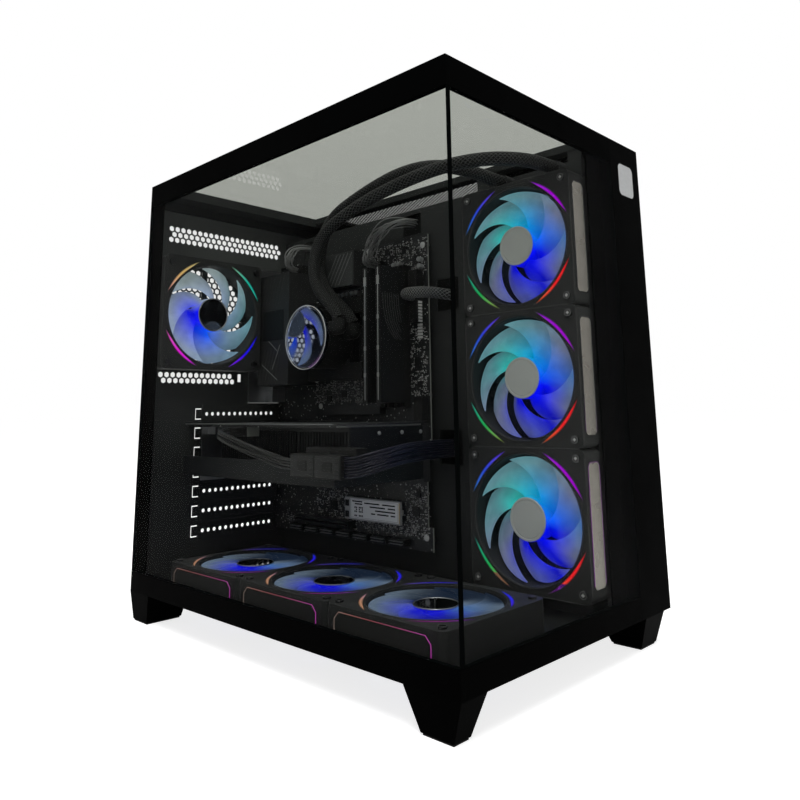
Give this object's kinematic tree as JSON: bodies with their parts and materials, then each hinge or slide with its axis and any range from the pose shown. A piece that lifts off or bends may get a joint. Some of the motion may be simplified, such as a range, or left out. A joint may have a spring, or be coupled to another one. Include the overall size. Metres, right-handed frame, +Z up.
{
  "type": "desktop computer tower",
  "caption": "Glass-sided desktop computer tower with two chambers, lit fans, a liquid cooler, a board with its card and a power supply, on tapered feet.",
  "frame": {"origin": "bottom centre of the whole tower, on the surface it stands on", "axes": "+Z up, -Y out of the front glass, -X out of the large side glass"},
  "size_m": [0.281, 0.4286, 0.439],
  "materials": {
    "steel_black": "satin",
    "plastic_black": "fine grain",
    "tinted_glass": "clear, lightly tinted",
    "pad_rubber": "matte",
    "screw_black": "black oxide",
    "fan_frame": "matte",
    "fan_blades": "translucent",
    "light_guide": "lit",
    "mirror_plate": "polished",
    "core_black": "black coated",
    "sleeve": "braided",
    "board_black": "solder mask",
    "cooler_dark": "bead blasted, dark",
    "connector_black": "smooth",
    "socket_steel": "plain",
    "memory_black": "satin",
    "drive_label": "paper label"
  },
  "bodies": {
    "case": {"base_floor": "steel_black", "base_skirts": "steel_black", "feet": "plastic_black", "foot_pads": "pad_rubber", "top_rails": "steel_black", "top_deck": "steel_black", "top_glass": "tinted_glass", "front_glass": "tinted_glass", "front_column": "plastic_black", "rear_panel": "steel_black", "middle_wall": "steel_black", "slot_covers": "steel_black", "screws": "screw_black", "control_module": "plastic_black", "supply_case": "steel_black", "power_inlet": "connector_black", "rear_fan_frame": "fan_frame", "fan_light_arcs": "light_guide", "fan_mirror_plates": "mirror_plate", "radiator": "core_black", "pump_body": "plastic_black", "pump_cap": "mirror_plate", "coolant_tube_front": "sleeve", "coolant_tube_rear": "sleeve", "motherboard": "board_black", "board_heatsinks": "cooler_dark", "board_connectors": "connector_black", "rear_sockets": "socket_steel", "memory_modules": "memory_black", "storage_drive": "drive_label", "card_shroud": "plastic_black", "card_backplate": "cooler_dark", "card_heatsink": "cooler_dark", "card_board": "board_black", "card_bracket": "socket_steel", "card_plugs": "connector_black", "card_cables": "sleeve", "board_cables": "sleeve", "side_fan_frame_1": "fan_frame", "base_fan_frame_1": "fan_frame", "side_fan_frame_2": "fan_frame", "base_fan_frame_2": "fan_frame", "side_fan_frame_3": "fan_frame", "base_fan_frame_3": "fan_frame"},
    "side_fan_rotor_1": {"side_fan_rotor_1": "fan_blades"},
    "side_fan_rotor_2": {"side_fan_rotor_2": "fan_blades"},
    "side_fan_rotor_3": {"side_fan_rotor_3": "fan_blades"},
    "base_fan_rotor_1": {"base_fan_rotor_1": "fan_blades"},
    "base_fan_rotor_2": {"base_fan_rotor_2": "fan_blades"},
    "base_fan_rotor_3": {"base_fan_rotor_3": "fan_blades"},
    "rear_fan_rotor": {"rear_fan_rotor": "fan_blades"},
    "card_rotor_1": {"card_rotor_1": "fan_frame"},
    "card_rotor_2": {"card_rotor_2": "fan_frame"},
    "supply_rotor": {"supply_rotor": "fan_frame"},
    "power_button": {"power_button": "plastic_black"},
    "power_switch": {"power_switch": "connector_black"},
    "left_panel": {"left_glass": "tinted_glass", "left_panel_stile": "steel_black"},
    "right_panel": {"right_panel": "steel_black"}
  },
  "joints": [
    {"name": "side_fan_rotor_1_spin", "type": "hinge", "parent": "case", "child": "side_fan_rotor_1", "pos_m": [0.06465, -0.13872, 0.1038], "axis": [-1, 0, 0], "continuous": true},
    {"name": "side_fan_rotor_2_spin", "type": "hinge", "parent": "case", "child": "side_fan_rotor_2", "pos_m": [0.06465, -0.13872, 0.2238], "axis": [-1, 0, 0], "continuous": true},
    {"name": "side_fan_rotor_3_spin", "type": "hinge", "parent": "case", "child": "side_fan_rotor_3", "pos_m": [0.06465, -0.13872, 0.3438], "axis": [-1, 0, 0], "continuous": true},
    {"name": "base_fan_rotor_1_spin", "type": "hinge", "parent": "case", "child": "base_fan_rotor_1", "pos_m": [-0.0533, -0.11762, 0.0282], "axis": [0, 0, 1], "continuous": true},
    {"name": "base_fan_rotor_2_spin", "type": "hinge", "parent": "case", "child": "base_fan_rotor_2", "pos_m": [-0.0533, 0.00237, 0.0282], "axis": [0, 0, 1], "continuous": true},
    {"name": "base_fan_rotor_3_spin", "type": "hinge", "parent": "case", "child": "base_fan_rotor_3", "pos_m": [-0.0533, 0.12237, 0.0282], "axis": [0, 0, 1], "continuous": true},
    {"name": "rear_fan_rotor_spin", "type": "hinge", "parent": "case", "child": "rear_fan_rotor", "pos_m": [-0.074, 0.20567, 0.3027], "axis": [0, -1, 0], "continuous": true},
    {"name": "card_rotor_1_spin", "type": "hinge", "parent": "case", "child": "card_rotor_1", "pos_m": [-0.036, 0.01968, 0.1464], "axis": [0, 0, -1], "continuous": true},
    {"name": "card_rotor_2_spin", "type": "hinge", "parent": "case", "child": "card_rotor_2", "pos_m": [-0.036, 0.12768, 0.1464], "axis": [0, 0, -1], "continuous": true},
    {"name": "supply_rotor_spin", "type": "hinge", "parent": "case", "child": "supply_rotor", "pos_m": [0.1272, 0.13567, 0.108], "axis": [1, 0, 0], "continuous": true},
    {"name": "button_press", "type": "slide", "parent": "case", "child": "power_button", "axis": [0, 0, -1], "range_m": [0, 0.0012], "stiffness_N_per_m": 400},
    {"name": "switch_rock", "type": "hinge", "parent": "case", "child": "power_switch", "pos_m": [0.0722, 0.20117, 0.134], "axis": [1, 0, 0], "range_deg": [0, 16]},
    {"name": "left_panel_off", "type": "slide", "parent": "case", "child": "left_panel", "axis": [-1, 0, 0], "range_m": [0, 0.12]},
    {"name": "right_panel_off", "type": "slide", "parent": "case", "child": "right_panel", "axis": [1, 0, 0], "range_m": [0, 0.12]}
  ]
}
